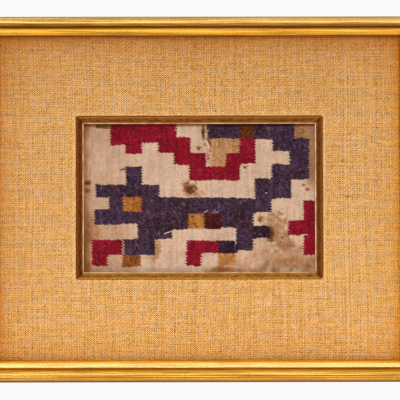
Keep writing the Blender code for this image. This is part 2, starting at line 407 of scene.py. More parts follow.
def makeSlipGilt():
    # Mottled bronze band with olive and brown patches, and a brighter rubbed lip; each length's band and
    # lip are lighter or darker as painted light and shade
    material, tree, shader = newMaterial("slip_gilding")
    along = uvVector(tree, "run")
    lip = attributeValue(tree, "lip")
    edge = attributeValue(tree, "edge")
    patches = streaks(tree, along, 150.0, 420.0, 0.36, 0.64)
    fine = streaks(tree, along, 420.0, 1400.0, 0.4, 0.66)
    band = mixColour(tree, patches.outputs["Mask"], (0.13, 0.036, 0.002), (0.3, 0.12, 0.017))
    band = glaze(tree, fine.outputs["Mask"], 0.5, band, (0.08, 0.024, 0.002))
    outer = mixColour(tree, fine.outputs["Plain"], (0.28, 0.09, 0.008), (0.55, 0.24, 0.05))
    band = mixColour(tree, edge, band, outer)
    # Painted light and shade: each length's band is lighter or darker by how it faces the light
    bandShading = addNode(tree, "ShaderNodeCombineColor", {
        "Red": attributeValue(tree, "bandRedShading"), "Green": attributeValue(tree, "bandGreenShading"),
        "Blue": attributeValue(tree, "bandGreenShading")}).outputs["Color"]
    band = tint(tree, band, bandShading)
    worn = streaks(tree, along, 90.0, 90.0, 0.25, 0.72)
    brightened = mixColour(tree, worn.outputs["Mask"], (0.45, 0.21, 0.07), (0.92, 0.62, 0.33))
    # Painted shade: each length's lip is dulled by its own amount
    brightened = mixColour(tree, attributeValue(tree, "lipShading"), brightened, tint(tree, brightened, (0.5, 0.42, 0.28)))
    tree.links.new(mixColour(tree, lip, band, brightened), shader.inputs["Base Color"])
    metal = mapRange(tree, patches.outputs["Plain"], 0.3, 0.7, 0.15, 0.35)
    tree.links.new(metal, shader.inputs["Metallic"])
    shader.inputs["Specular IOR Level"].default_value = 0.04
    setRoughness(tree, shader, fine.outputs["Plain"], 0.4, 0.6)
    setBump(tree, shader, fine.outputs["Plain"], 0.3, 0.0002)
    return material


def makeLinenThread():
    # Coarse spun thread: darker and redder where it dips as painted shade, painted shade and a painted warm
    # reflection of the gilt near the rails, fibres along it, brown flecks
    material, tree, shader = newMaterial("coarse_linen_thread")
    along = uvVector(tree, "run")
    # tone is each thread's own tone with painted shade where it dips
    tone = attributeValue(tree, "tone")
    fleck = attributeValue(tree, "fleck")
    fibres = streaks(tree, along, 260.0, 2600.0, 0.35, 0.65)
    shaded = mixColour(tree, mapRange(tree, tone, 0.0, 0.7), (0.3, 0.08, 0.003), (0.78, 0.44, 0.125))
    colour = mixColour(tree, mapRange(tree, tone, 0.7, 1.0), shaded, (0.95, 0.602, 0.385))
    # Painted shade near the rails, then a painted warm reflection of the gilt
    colour = mixColour(tree, attributeValue(tree, "railShade"), colour, tint(tree, colour, (0.65, 0.42, 0.22)))
    colour = mixColour(tree, attributeValue(tree, "giltReflection"), colour, tint(tree, colour, (1.05, 0.8, 0.18)))
    patch = addNode(tree, "ShaderNodeTexNoise", {
        "Vector": objectVector(tree), "Scale": 60.0, "Detail": 3.0})
    patch = mapRange(tree, patch.outputs["Fac"], 0.35, 0.65)
    colour = tint(tree, colour, mixColour(tree, patch, (0.97, 0.97, 0.88), (1.0, 0.99, 1.08)))
    colour = glaze(tree, fibres.outputs["Mask"], 0.3, colour, (0.4, 0.185, 0.055))
    colour = mixColour(tree, fleck, colour, (0.16, 0.09, 0.04))
    tree.links.new(colour, shader.inputs["Base Color"])
    setRoughness(tree, shader, fibres.outputs["Plain"], 0.75, 0.95)
    shader.inputs["Specular IOR Level"].default_value = 0.06
    setBump(tree, shader, fibres.outputs["Plain"], 0.5, 0.0003)
    return material


def makeGroundShade():
    # The cloth that shows between the threads, coloured near black as painted shade
    material, tree, shader = newMaterial("linen_painted_shade_between_threads")
    place = objectVector(tree)
    mottle = addNode(tree, "ShaderNodeTexNoise", {"Vector": place, "Scale": 420.0, "Detail": 3.0})
    colour = mixColour(tree, mottle.outputs["Fac"], (0.03, 0.007, 0.0005), (0.1, 0.028, 0.003))
    tree.links.new(colour, shader.inputs["Base Color"])
    setRoughness(tree, shader, mottle.outputs["Fac"], 0.85, 1.0)
    shader.inputs["Specular IOR Level"].default_value = 0.03
    setBump(tree, shader, mottle.outputs["Fac"], 0.4, 0.0003)
    return material


def makeTapestryYarn():
    # Yarn colour from the woven chart, fibre streaks along the weft, ribs of the hidden warp in the bump
    material, tree, shader = newMaterial("tapestry_yarn")
    along = uvVector(tree, "weft")
    yarn = addNode(tree, "ShaderNodeAttribute", attribute_name="yarn").outputs["Color"]
    fibres = streaks(tree, along, 700.0, 1900.0, 0.4, 0.62)
    colour = glaze(tree, fibres.outputs["Mask"], 0.28, yarn, tint(tree, yarn, (0.5, 0.42, 0.4)))
    tree.links.new(colour, shader.inputs["Base Color"])
    setRoughness(tree, shader, fibres.outputs["Plain"], 0.8, 1.0)
    shader.inputs["Specular IOR Level"].default_value = 0.1
    shader.inputs["Sheen Weight"].default_value = 0.02
    shader.inputs["Sheen Roughness"].default_value = 0.6
    setBump(tree, shader, fibres.outputs["Plain"], 0.6, 0.0004)
    return material


def makeMatBoard():
    material, tree, shader = newMaterial("mat_board_pulp")
    place = objectVector(tree)
    pulp = addNode(tree, "ShaderNodeTexNoise", {"Vector": place, "Scale": 260.0, "Detail": 5.0})
    specks = useGroup(tree, speckGroup, {"Vector": place, "Scale": 240.0, "Size": 0.16, "Share": 0.3})
    colour = mixColour(tree, pulp.outputs["Fac"], (0.6, 0.53, 0.43), (0.72, 0.66, 0.56))
    colour = glaze(tree, specks.outputs["Mask"], 0.4, colour, (0.35, 0.27, 0.18))
    tree.links.new(colour, shader.inputs["Base Color"])
    setRoughness(tree, shader, pulp.outputs["Fac"], 0.8, 0.95)
    setBump(tree, shader, pulp.outputs["Fac"], 0.3, 0.0002)
    return material


def makeBackingBoard():
    # Brown board with drawn fibres, darker specks and a faint water tone
    material, tree, shader = newMaterial("brown_backing_board")
    place = objectVector(tree)
    fibres = streaks(tree, place, 90.0, 420.0, 0.35, 0.7)
    cloud = addNode(tree, "ShaderNodeTexNoise", {"Vector": place, "Scale": 14.0, "Detail": 4.0})
    specks = useGroup(tree, speckGroup, {"Vector": place, "Scale": 180.0, "Size": 0.2, "Share": 0.35})
    colour = mixColour(tree, cloud.outputs["Fac"], (0.24, 0.145, 0.07), (0.38, 0.25, 0.135))
    colour = glaze(tree, fibres.outputs["Mask"], 0.35, colour, (0.45, 0.32, 0.19))
    colour = glaze(tree, specks.outputs["Mask"], 0.5, colour, (0.12, 0.07, 0.035))
    tree.links.new(colour, shader.inputs["Base Color"])
    setRoughness(tree, shader, fibres.outputs["Plain"], 0.7, 0.9)
    setBump(tree, shader, fibres.outputs["Plain"], 0.35, 0.0002)
    return material


railGilt = makeRailGilt()
slipGilt = makeSlipGilt()
linenThread = makeLinenThread()
groundShade = makeGroundShade()
tapestryYarn = makeTapestryYarn()
print("materials made")


# Mitred mouldings

moulding = {
    "width": 407 * mm,
    "height": 337 * mm,
    "centreHeight": -161.75 * mm,
    "gap": 0.3 * mm,          # between the slip's flange and the mat's window
    "mitreGap": 0.04 * mm,    # the solids leave 0.3 mm at the mitres, which would show the wall
    "shoulderDepth": 5 * mm,
    "crestInset": 7.1 * mm,
    "depth": 22 * mm,
    "reedHollows": (54.2, 72.0),
    "hollowHalfTurn": 6.0,
    "reedDepth": 0.6 * mm,
    "grooveInset": 11.5 * mm,
    "grooveDepth": 18.7 * mm,
    "railWidth": 19.5 * mm,
    "beadRadius": 4.0 * mm,
    "beadCentre": 17.6 * mm,
    "beadStartTurn": 16,
    "rabbetWidth": 6 * mm,
    "rabbetDepth": 16 * mm,
    "alongSteps": 90,
    "waver": 0.09 * mm,
    "finish": {               # each length: clay in its low parts, with more as painted shade on the parts that face away from the light, polish of its bead, pale leaf on its high parts as painted highlight, and how far its leaf is tinted to honey
                              # parts, and how far its leaf is tinted to honey
        "bottom": {"fall": 0.66, "trough": 0.72, "foot": 0.3, "hollow": 0.9, "skirt": 0.8, "polish": 0.3,
                   "crown": 0.68, "crest": 0.12, "shoulder": 0.15, "honey": 0.85},
        "top": {"fall": 1.15, "trough": 0.46, "foot": 1.05, "hollow": 0.2, "skirt": 0.0, "polish": 0.12,
                "crown": 0.1, "crest": 0.45, "shoulder": 1.3, "honey": 0.1},
        "left": {"fall": 0.9, "trough": 0.8, "foot": 0.8, "hollow": 0.5, "skirt": 0.3, "polish": 0.2,
                 "crown": 0.35, "crest": 0.3, "shoulder": 0.2, "honey": 0.4},
        "right": {"fall": 0.9, "trough": 0.8, "foot": 0.8, "hollow": 0.5, "skirt": 0.3, "polish": 0.2,
                  "crown": 0.35, "crest": 0.3, "shoulder": 0.2, "honey": 0.4},
    },
}


def railSection():
    # Quarter ellipse with reeds between two hollows, a fall to the groove, a bead, the sight edge and
    # the rabbet. Gives inset and depth, and by name how much each point belongs to a part of the section.
    m = moulding
    turn = np.radians(np.concatenate([
        np.linspace(0, 44, 12), np.linspace(44.5, 74.5, 41), np.linspace(76, 90, 8)]))
    rise = m["depth"] - m["shoulderDepth"]
    inset = m["crestInset"] * (1 - np.cos(turn))
    depth = m["shoulderDepth"] + rise * np.sin(turn)
    outX = -np.cos(turn) / m["crestInset"]
    outY = np.sin(turn) / rise
    size = np.hypot(outX, outY)
    cut = np.zeros_like(turn)
    for middle in m["reedHollows"]:
        s = np.clip((np.degrees(turn) - middle) / m["hollowHalfTurn"], -1, 1)
        cut = cut + np.cos(s * math.pi / 2) ** 2
    inset = inset - m["reedDepth"] * cut * outX / size
    depth = depth - m["reedDepth"] * cut * outY / size
    share = np.linspace(0, 1, 11)[1:]
    fallTone = 0.1 + 0.45 * smoothStep(0, 0.35, share) + 0.5 * smoothStep(0.55, 1, share)
    fallInset = m["crestInset"] + (m["grooveInset"] - m["crestInset"]) * share
    fallDepth = m["depth"] - (m["depth"] - m["grooveDepth"]) * (1 - np.cos(share * math.pi / 2))
    start = math.radians(m["beadStartTurn"])
    bead = start + (math.pi - start) * np.linspace(0, 1, 25)
    beadInset = m["railWidth"] - m["beadRadius"] * (1 + np.cos(bead))
    beadDepth = m["beadCentre"] + m["beadRadius"] * np.sin(bead)
    backStrip = m["railWidth"] - m["rabbetWidth"]
    ends = np.array([(m["railWidth"], m["rabbetDepth"]), (backStrip, m["rabbetDepth"]), (backStrip, 0.0)])
    insets = np.concatenate([[0.0], inset, fallInset, beadInset, ends[:, 0]])
    depths = np.concatenate([[0.0], depth, fallDepth, beadDepth, ends[:, 1]])
    flatTurn = 0 * turn
    flatFall = 0 * share
    flatBead = 0 * bead
    noBack = [0.0, 0.0, 0.0]
    parts = {
        "edges": ([0.4], 0.4 * (1 - smoothStep(0, 0.4, turn)), flatFall, flatBead, [1.0, 0.3, 0.3]),
        "fall": ([0.0], flatTurn, fallTone, flatBead, noBack),
        "trough": ([0.0], flatTurn, flatFall, 1 - smoothStep(start, start + 0.6, bead), noBack),
        "foot": ([0.0], flatTurn, flatFall, smoothStep(1.95, 2.9, bead), noBack),
        "hollow": ([0.0], cut, flatFall, flatBead, noBack),
        "skirt": ([1.0], 1 - smoothStep(0.45, 0.75, turn), flatFall, flatBead, noBack),
        "shoulder": ([1.0], 1 - smoothStep(0.35, 0.85, turn), flatFall, flatBead, noBack),
        "crest": ([0.0], smoothStep(1.15, 1.4, turn), 1 - smoothStep(0, 0.2, share), flatBead, noBack),
        "crown": ([0.0], flatTurn, flatFall,
                  smoothStep(0.6, 1.0, bead) * (1 - smoothStep(1.45, 2.05, bead)), noBack),
        "warm": ([0.0], flatTurn, share, 1 + flatBead, [1.0, 0.0, 0.0]),
        "bare": ([1.0], flatTurn, flatFall, flatBead, [0.7, 1.0, 1.0]),
    }
    return insets, depths, {name: np.concatenate(values) for name, values in parts.items()}


def mitredLength(name, insets, depths, values, across, along, turn, centre, steps, waver, seed):
    # A profile carried along X between 45 degree ends, then turned about Y by whole quarter turns. The
    # bake map lays the sides out by their lengths below 0.89 and the two ends above it.
    count = len(insets)
    start = insets + moulding["mitreGap"] * math.sqrt(0.5)
    half = along / 2 - start
    share = np.linspace(-1, 1, steps + 1)
    x = half[None, :] * share[:, None]
    wave = cloudNoise(x * 60 + 7.3 * seed, np.arange(count)[None, :] * 0.12, 900 + seed)
    fade = np.clip((1 - np.abs(share)) * 12, 0, 1)[:, None]
    ripple = waver * (wave - 0.5) * 2 * fade * (depths > 0.35 * depths.max())[None, :]
    n = insets[None, :] + 0 * x - across / 2
    y = -(depths[None, :] + ripple)
    cosine = round(math.cos(turn))
    sine = round(math.sin(turn))
    points = np.stack([centre[0] + x * cosine + n * sine, y, centre[1] - x * sine + n * cosine], axis=-1)
    quads, r, c = gridCorners(steps + 1, count, closeColumns=True)
    stepLengths = np.hypot(np.diff(np.append(insets, insets[0])), np.diff(np.append(depths, depths[0])))
    arc = np.concatenate([[0.0], np.cumsum(stepLengths)])
    u = share[r] * along / 2 + 0.9 * seed
    v = arc[c]
    bakeU = (share[r] + 1) / 2 * 0.96 + 0.02
    bakeV = v / arc[-1] * 0.88 + 0.01
    ends = [list(range(count)), list(range((steps + 1) * count - 1, steps * count - 1, -1))]
    flat = points.reshape(-1, 3)
    if signedVolume(flat, quads) < 0:
        quads = quads[:, ::-1]
        u, v, bakeU, bakeV = (a[:, ::-1] for a in (u, v, bakeU, bakeV))
        ends = [e[::-1] for e in ends]
    span = max(insets.max() - insets.min(), depths.max())
    capRun = []
    capBake = []
    for k, end in enumerate(ends):
        ids = np.array(end) % count
        capRun.append(np.stack([insets[ids] + 0.4 * seed, depths[ids]], axis=-1))
        capU = 0.05 + 0.3 * k + 0.1 * insets[ids] / span
        capBake.append(np.stack([capU, 0.895 + 0.1 * depths[ids] / span], axis=-1))
    run = np.concatenate([np.stack([u, v], axis=-1).reshape(-1, 2)] + capRun)
    bake = np.concatenate([np.stack([bakeU, bakeV], axis=-1).reshape(-1, 2)] + capBake)
    tiled = {key: np.tile(value, steps + 1) for key, value in values.items()}
    return addMesh(name, flat, quads, ends, {"OFBake": bake, "run": run}, tiled)


sides = (("bottom", 0.0), ("right", -90.0), ("top", 180.0), ("left", 90.0))


def makeRails():
    insets, depths, parts = railSection()
    for seed, (side, degrees) in enumerate(sides):
        lying = side in ("bottom", "top")
        along = moulding["width"] if lying else moulding["height"]
        across = moulding["height"] if lying else moulding["width"]
        finish = moulding["finish"][side]
        # The clay weights of each length also paint shade on its parts that face away from the light
        clayAndShadeParts = ("fall", "trough", "foot", "hollow", "skirt")
        clayAndShade = parts["edges"] + sum(finish[part] * parts[part] for part in clayAndShadeParts)
        # Pale leaf on the crown, crest and shoulder of each length is a painted highlight
        brightened = sum(finish[part] * parts[part] for part in ("crown", "crest", "shoulder"))
        values = {"clayAndShade": clayAndShade, "brightened": brightened, "shoulder": parts["shoulder"], "warm": parts["warm"],
                  "bare": parts["bare"], "polish": 0.08 + finish["polish"] * parts["crown"],
                  "honey": finish["honey"] + 0 * insets}
        rail = mitredLength("gilded_" + side + "_rail", insets, depths, values, across, along,
                            math.radians(degrees), (0.0, moulding["centreHeight"]),
                            moulding["alongSteps"], moulding["waver"], seed)
        rail.data.materials.append(railGilt)
        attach(rail, "root")
        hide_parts(side + "_rail")


makeRails()
print("rails made")


slip = {
    "width": 238 * mm,
    "height": 162 * mm,
    "centreHeight": -161.2 * mm,
    "flangeWidth": 6.0 * mm,
    "flangeFront": 11.1 * mm,
    "back": 9.5 * mm,
    "bandWidth": 5.2 * mm,
    "bandTop": 14.3 * mm,
    "bandFoot": 11.3 * mm,
    "lipWidth": 1.3 * mm,
    "arrisWidth": 0.35 * mm,
    "arrisDepth": 0.6 * mm,
    "alongSteps": 60,
    "waver": 0.05 * mm,
    "tonesWithPaintedShading": {                # each length's painted light and shade: its band in red and in green and blue, and how dull its lip is
        "bottom": (1.22, 1.34, 0.45),
        "right": (0.66, 0.48, 0.0),
        "top": (0.85, 0.75, 0.55),
        "left": (0.6, 0.42, 0.2),
    },
}


def slipSection():
    # Flange under the mat, a sloping band with a rounded outer arris, and a half-round lip
    s = slip
    bandStart = s["flangeWidth"] + moulding["gap"]
    share = np.linspace(0, 1, 14)
    bandInset = bandStart + s["bandWidth"] * share
    bandDepth = s["bandTop"] + (s["bandFoot"] - s["bandTop"]) * share
    swell = 0.22 * mm * np.sin(math.pi * share)
    arris = np.linspace(0, math.pi / 2, 6)[:-1]
    arrisInset = bandStart - s["arrisWidth"] * np.cos(arris)
    arrisDepth = s["bandTop"] - s["arrisDepth"] * (1 - np.sin(arris))
    turn = np.linspace(0, math.pi, 13)[1:]
    lipInset = bandStart + s["bandWidth"] + 0.5 * s["lipWidth"] * (1 - np.cos(turn))
    lipDepth = s["bandFoot"] + 0.5 * s["lipWidth"] * np.sin(turn)
    sight = bandStart + s["bandWidth"] + s["lipWidth"]
    insets = np.concatenate([[0, 0, arrisInset[0]], arrisInset, bandInset, lipInset, [sight]])
    flange = [s["back"], s["flangeFront"], s["flangeFront"]]
    depths = np.concatenate([flange, arrisDepth, bandDepth - swell, lipDepth, [s["back"]]])
    lip = np.concatenate([[0, 0, 0], 0 * arris, 0 * share, np.sin(turn) ** 0.5 * (turn < 3.1), [0]])
    brightened = 0.75 * (1 - smoothStep(0.05, 0.5, share)) + 0.45 * smoothStep(0.7, 0.95, share)
    edge = np.concatenate([[0, 0, 0.3], 1 + 0 * arris, brightened, 0 * turn, [0]])
    return insets, depths, lip, edge


def makeSlips():
    insets, depths, lip, edge = slipSection()
    for seed, (side, degrees) in enumerate(sides):
        lying = side in ("bottom", "top")
        along = slip["width"] if lying else slip["height"]
        across = slip["height"] if lying else slip["width"]
        values = {"lip": lip, "edge": edge}
        for name, tone in zip(("bandRedShading", "bandGreenShading", "lipShading"), slip["tonesWithPaintedShading"][side]):
            values[name] = np.full(len(insets), tone)
        piece = mitredLength("gilded_" + side + "_slip", insets, depths, values, across, along,
                             math.radians(degrees), (0.0, slip["centreHeight"]),
                             slip["alongSteps"], slip["waver"], 10 + seed)
        piece.data.materials.append(slipGilt)
        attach(piece, "root")
        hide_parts(side + "_slip")


makeSlips()
print("slips made")


# Linen cover: a closed sheet turned into the window, and the woven threads on it

linen = {
    "halfWidth": 189 * mm,
    "top": -7.75 * mm,
    "bottom": -315.75 * mm,
    "windowHalfWidth": 113.05 * mm,
    "windowHalfHeight": 75.05 * mm,
    "windowHeight": -161.1 * mm,
    "groundFront": 15.15 * mm,
    "back": 14.7 * mm,
    "foot": 11.4 * mm,
    "turnRadius": 0.8 * mm,
    "groundSteps": 60,        # along each side of the ground sheet
    "warpPitch": 2.21 * mm,
    "weftPitch": 2.03 * mm,
    "threadHalfWidth": 0.74 * mm,
    "threadLift": 0.14 * mm,
    "threadBulge": 0.26 * mm,
    "threadFront": 15.5 * mm,
    "wander": 5 * mm,
    "spill": 0.9 * mm,        # how far threads run past the window's edge before they are pushed back
    "turnDown": 4 * mm,       # cloth turned down into the window
    "marks": (                # x and height in mm, half length and half height in mm, strength
        (76.0, -44.2, 1.6, 2.2, 0.35), (-4.0, -21.2, 0.9, 1.4, 0.8), (-85.8, -239.6, 0.8, 1.2, 0.7),
        (-161.1, -298.7, 1.0, 1.2, 0.6), (111.8, -282.1, 1.4, 0.9, 0.6), (31.0, -236.9, 1.3, 0.8, 0.8),
        (97.1, -238.8, 1.1, 0.8, 0.6), (136.0, -160.4, 3.8, 0.9, 0.75), (128.0, -94.0, 0.8, 0.9, 0.45),
        (160.0, -60.0, 0.9, 0.7, 0.4), (-60.0, -268.0, 1.0, 0.7, 0.4), (-150.0, -120.0, 1.2, 0.6, 0.35),
    ),
}


def windowDistance(x, z):
    # Distance outside the window's edge, negative inside
    dx = np.abs(x) - linen["windowHalfWidth"]
    dz = np.abs(z - linen["windowHeight"]) - linen["windowHalfHeight"]
    outside = np.hypot(np.maximum(dx, 0), np.maximum(dz, 0))
    return np.where((dx > 0) | (dz > 0), outside, np.maximum(dx, dz))


def edgeFall(distance):
    # How far the cloth has fallen at this distance from the window, along a quarter circle
    r = linen["turnRadius"]
    t = np.clip(1 - distance / r, 0, 1)
    return r - r * np.sqrt(1 - t * t)


def matBake(corners):
    # The mat's face laid flat in the bake map, 0.4 m to the map's width
    return np.stack([corners[:, 0] / 0.4 + 0.5, (corners[:, 2] + 0.33) / 0.4 + 0.05], axis=-1)


def makeGroundSheet():
    # Rings of a rectangle: outer back edge, outer front edge, inwards to the turn, round it and down,
    # and back
    m = linen
    r = m["turnRadius"]
    outer = np.array([m["halfWidth"], (m["top"] - m["bottom"]) / 2])
    inner = np.array([m["windowHalfWidth"], m["windowHalfHeight"]])
    outerCentre = (m["top"] + m["bottom"]) / 2
    innerCentre = m["windowHeight"]
    thick = m["groundFront"] - m["back"]
    path = [(outer, outerCentre, m["back"])]
    flatEnd = inner + r
    for share in np.linspace(0, 1, 9):
        centre = outerCentre + (innerCentre - outerCentre) * share
        path.append((outer + (flatEnd - outer) * share, centre, m["groundFront"]))
    for turn in np.linspace(0, math.pi / 2, 6)[1:]:
        depth = m["groundFront"] - r * (1 - math.cos(turn))
        path.append((inner + r * (1 - math.sin(turn)), innerCentre, depth))
    path += [(inner, innerCentre, m["foot"]), (inner + thick, innerCentre, m["foot"]),
             (inner + thick, innerCentre, m["back"])]
    perSide = m["groundSteps"]
    signs = [(-1, -1), (1, -1), (1, 1), (-1, 1)]
    loops = []
    for half, centre, depth in path:
        loop = []
        for k in range(4):
            a = np.array(signs[k]) * half
            b = np.array(signs[(k + 1) % 4]) * half
            t = np.linspace(0, 1, perSide, endpoint=False)[:, None]
            p = a + (b - a) * t
            loop.append(np.stack([p[:, 0], np.full(perSide, -depth), centre + p[:, 1]], axis=-1))
        loops.append(np.concatenate(loop))
    points = np.stack(loops)
    rows, columns = points.shape[:2]
    quads = gridCorners(rows, columns, closeRows=True, closeColumns=True)[0]
    flat = points.reshape(-1, 3)
    if signedVolume(flat, quads) < 0:
        quads = quads[:, ::-1]
    return addMesh("linen_cover_cloth", flat, quads, (), {"OFBake": matBake(flat[quads.ravel()])})


def threadRibbons(count, pitch, centre, low, high, crossPitch, crossCentre, upright, seed):
    # For thread k: its own place and waver, a half width and tone, and over or under by the parity of
    # thread plus crossing. Halfway between crossings it is neither.
    m = linen
    rng = np.random.default_rng(seed)
    lines = (np.arange(count) - (count - 1) / 2) * pitch + centre
    lines = lines + rng.normal(0, (0.11 if upright else 0.06) * mm, count)
    firstCrossing = math.floor((low - crossCentre) / crossPitch) + 1
    crossings = np.arange(firstCrossing, math.ceil((high - crossCentre) / crossPitch))
    halfSteps = np.arange(2 * crossings[0], 2 * crossings[-1] + 1)
    s = halfSteps * crossPitch / 2 + crossCentre
    thickness = np.clip(rng.normal(0.93, 0.05 if upright else 0.04, count), 0.78, 1.2)
    tone = rng.normal(0.93, 0.05 if upright else 0.03, count)
    k = np.arange(count)[:, None]
    waver = 0.75 * mm * (cloudNoise(s[None, :] * 55 + 0 * k, k * 3.7, seed + 1) - 0.5)
    place = lines[:, None] + waver
    slub = smoothStep(0.78, 0.92, cloudNoise(s[None, :] * 55 + 0 * k, k * 5.3 + 11, seed + 2, 2))
    uneven = 0.9 + 0.2 * latticeNoise(s[None, :] * 330 + 0 * k, k * 2.9, seed + 3)
    width = m["threadHalfWidth"] * thickness[:, None] * (1 + 0.22 * slub) * uneven
    width = width * rng.normal(1, 0.05, place.shape)
    even = halfSteps % 2 == 0
    parity = ((halfSteps // 2)[None, :] + k) % 2
    over = np.where(even[None, :], np.where(parity == (0 if upright else 1), 1.0, -1.0), 0.0)
    width = width * (1 + 0.03 * over)
    lift = m["threadLift"] * over + 0.06 * mm * slub
    toneAndDipShade = tone[:, None] + rng.normal(0, 0.12, place.shape) + 0.1 * slub
    toneAndDipShade = toneAndDipShade + 0.4 * (cloudNoise(s[None, :] * 160 + 0 * k, k * 4.1, seed + 4) - 0.5)
    # Painted shade: the tone drops where the threads dip between crossings
    toneAndDipShade = toneAndDipShade - (0.75 if upright else 0.72) * (over == 0)      # dark where threads dip
    toneAndDipShade = toneAndDipShade + 0.12 * (cloudNoise(s[None, :] * 9 + 0 * k, place * 9 + 40, 77, 2) - 0.5)
    toneAndDipShade = np.clip(toneAndDipShade, 0, 1)
    fleck = (rng.random(toneAndDipShade.shape) > 0.9986) * rng.random(toneAndDipShade.shape)
    return s, place, width, lift, toneAndDipShade, fleck


def paintedRailShading(x, z):
    # Painted shade on the linen and a painted warm reflection of the gilt rails: each falls away from each
    # rail, added up
    m = linen
    sight = 5 * mm
    fromTop = np.clip(m["top"] - sight - z, 0, 1)
    fromBottom = np.clip(z - m["bottom"] - sight, 0, 1)
    fromLeft = np.clip(x + m["halfWidth"] - sight, 0, 1)
    fromSide = np.minimum(fromLeft, np.clip(m["halfWidth"] - sight - x, 0, 1))
    side = np.where(x < 0, 1.0, 0.6)
    railShade = 0.75 * np.exp(-fromTop / (6 * mm)) + 0.34 * np.exp(-(fromTop / (45 * mm)) ** 2)
    railShade = railShade + side * (0.32 * np.exp(-fromSide / (4 * mm)) + 0.2 * np.exp(-fromSide / (20 * mm)))
    railShade = railShade + 0.08 * np.exp(-(fromLeft / (60 * mm)) ** 2) + 0.3 * np.exp(-fromBottom / (30 * mm))
    giltReflection = np.where(x < 0, 0.35, 0.7) * np.exp(-fromSide / (9 * mm)) + 0.3 * np.exp(-fromSide / (2.5 * mm))
    giltReflection = giltReflection + 0.35 * np.exp(-fromBottom / (18 * mm)) + 0.3 * np.exp(-fromTop / (6 * mm))
    return np.clip(railShade * (0.85 + 0.3 * cloudNoise(x * 40, z * 40, 91)), 0, 1), np.clip(giltReflection, 0, 1)


def makeThreads(name, count, pitch, centre, low, high, crossPitch, crossCentre, upright, seed):
    m = linen
    s, place, width, lift, tone, fleck = threadRibbons(
        count, pitch, centre, low, high, crossPitch, crossCentre, upright, seed)
    sGrid = np.broadcast_to(s[None, :], place.shape)
    x = place if upright else sGrid
    z = sGrid if upright else place
    distance = windowDistance(x, z)
    kept = distance > -m["spill"]
    width = width * (1 + 0.42 * (1 - smoothStep(2 * mm, 4.5 * mm, distance)))
    across = np.array([-1.0, 0.0, 1.0])
    side = place[..., None] + width[..., None] * across
    along = np.broadcast_to(sGrid[..., None], side.shape)
    px = side if upright else along
    pz = along if upright else side
    wander = m["wander"] * smoothStep(0, 14 * mm, windowDistance(px, pz))
    shiftX = wander * (cloudNoise(px * 14 + 20, pz * 14 + 20, 81, 2) - 0.5)
    shiftZ = wander * (cloudNoise(px * 14 + 50, pz * 14 + 50, 83, 2) - 0.5)
    px = np.clip(px + shiftX, -m["halfWidth"], m["halfWidth"])
    pz = np.clip(pz + shiftZ, m["bottom"], m["top"])
    inside = np.maximum(-windowDistance(px, pz), 0)
    nearSide = np.abs(px) - m["windowHalfWidth"] > np.abs(pz - m["windowHeight"]) - m["windowHalfHeight"]
    px = px + np.where(nearSide, np.sign(px) * inside, 0)
    pz = pz + np.where(nearSide, 0, np.sign(pz - m["windowHeight"]) * inside)
    drop = edgeFall(windowDistance(px, pz)) + inside
    bulge = m["threadBulge"] * (1 - across ** 2)
    py = -(m["threadFront"] - m["threadBulge"] + bulge + lift[..., None] - drop)
    points = np.stack([px, py, pz], axis=-1)
    number = np.arange(points.size // 3).reshape(side.shape)
    cell = kept[:, :-1] & kept[:, 1:]
    quads = np.stack([number[:, :-1, :-1][cell], number[:, 1:, :-1][cell],
                      number[:, 1:, 1:][cell], number[:, :-1, 1:][cell]], axis=-1).reshape(-1, 4)
    if upright:
        quads = quads[:, ::-1]
    used = np.unique(quads)
    renumber = np.zeros(number.size, dtype=int)
    renumber[used] = np.arange(len(used))
    quads = renumber[quads]
    points = points.reshape(-1, 3)[used]
    k = np.broadcast_to(np.arange(count)[:, None, None], side.shape)
    runU = (along + k * 0.37).reshape(-1)[used]
    runV = (width[..., None] * across + k * 0.01).reshape(-1)[used]
    tonesWithPaintedShading = np.broadcast_to(tone[..., None], side.shape).reshape(-1)[used]
    flecks = np.broadcast_to(fleck[..., None], side.shape).reshape(-1)[used]
    for markX, markZ, halfLength, halfHeight, strength in m["marks"]:
        r = np.hypot((points[:, 0] / mm - markX) / halfLength, (points[:, 2] / mm - markZ) / halfHeight)
        flecks = np.maximum(flecks, strength * (1 - smoothStep(0.3, 1.3, r)))
    railShade, giltReflection = paintedRailShading(points[:, 0], points[:, 2])
    corners = quads.ravel()
    run = np.stack([runU[corners], runV[corners]], axis=-1)
    return addMesh(name, points, quads, (), {"OFBake": matBake(points[corners]), "run": run},
                   {"tone": tonesWithPaintedShading, "fleck": flecks, "railShade": railShade, "giltReflection": giltReflection})


def makeLinen():
    m = linen
    ground = makeGroundSheet()
    ground.data.materials.append(groundShade)
    height = (m["top"] + m["bottom"]) / 2
    warpCount = int((2 * m["halfWidth"] - 2 * mm) / m["warpPitch"])
    weftCount = int((m["top"] - m["bottom"] - 2 * mm) / m["weftPitch"])
    warp = makeThreads("linen_upright_threads", warpCount, m["warpPitch"], 0.0, m["bottom"], m["top"],
                       m["weftPitch"], height, True, 31)
    weft = makeThreads("linen_level_threads", weftCount, m["weftPitch"], height, -m["halfWidth"],
                       m["halfWidth"], m["warpPitch"], 0.0, False, 57)
    for threads in (warp, weft):
        threads.data.materials.append(linenThread)
        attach(threads, "root")
    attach(ground, "root")
    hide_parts("linen_cover")


makeLinen()
print("linen made")


# Tapestry cloth, charted in steps of the weave

cloth = {
    "left": -110.8 * mm,
    "right": 110.8 * mm,
    "top": -87.95 * mm,
    "bottom": -233.55 * mm,
    "front": 9.0 * mm,
    "back": 7.9 * mm,
    "cell": 0.6 * mm,
    "chartLeft": -98.5 * mm,
    "chartTop": -93.3 * mm,
    "stepWidth": 15.0 * mm,
    "stepHeight": 13.03 * mm,
    "toothPitch": 2.6 * mm,
    "toothDepth": 0.62 * mm,
    "relief": 0.2 * mm,
    "reliefScale": 28.0,
    "fuzzHairs": 1500,
}

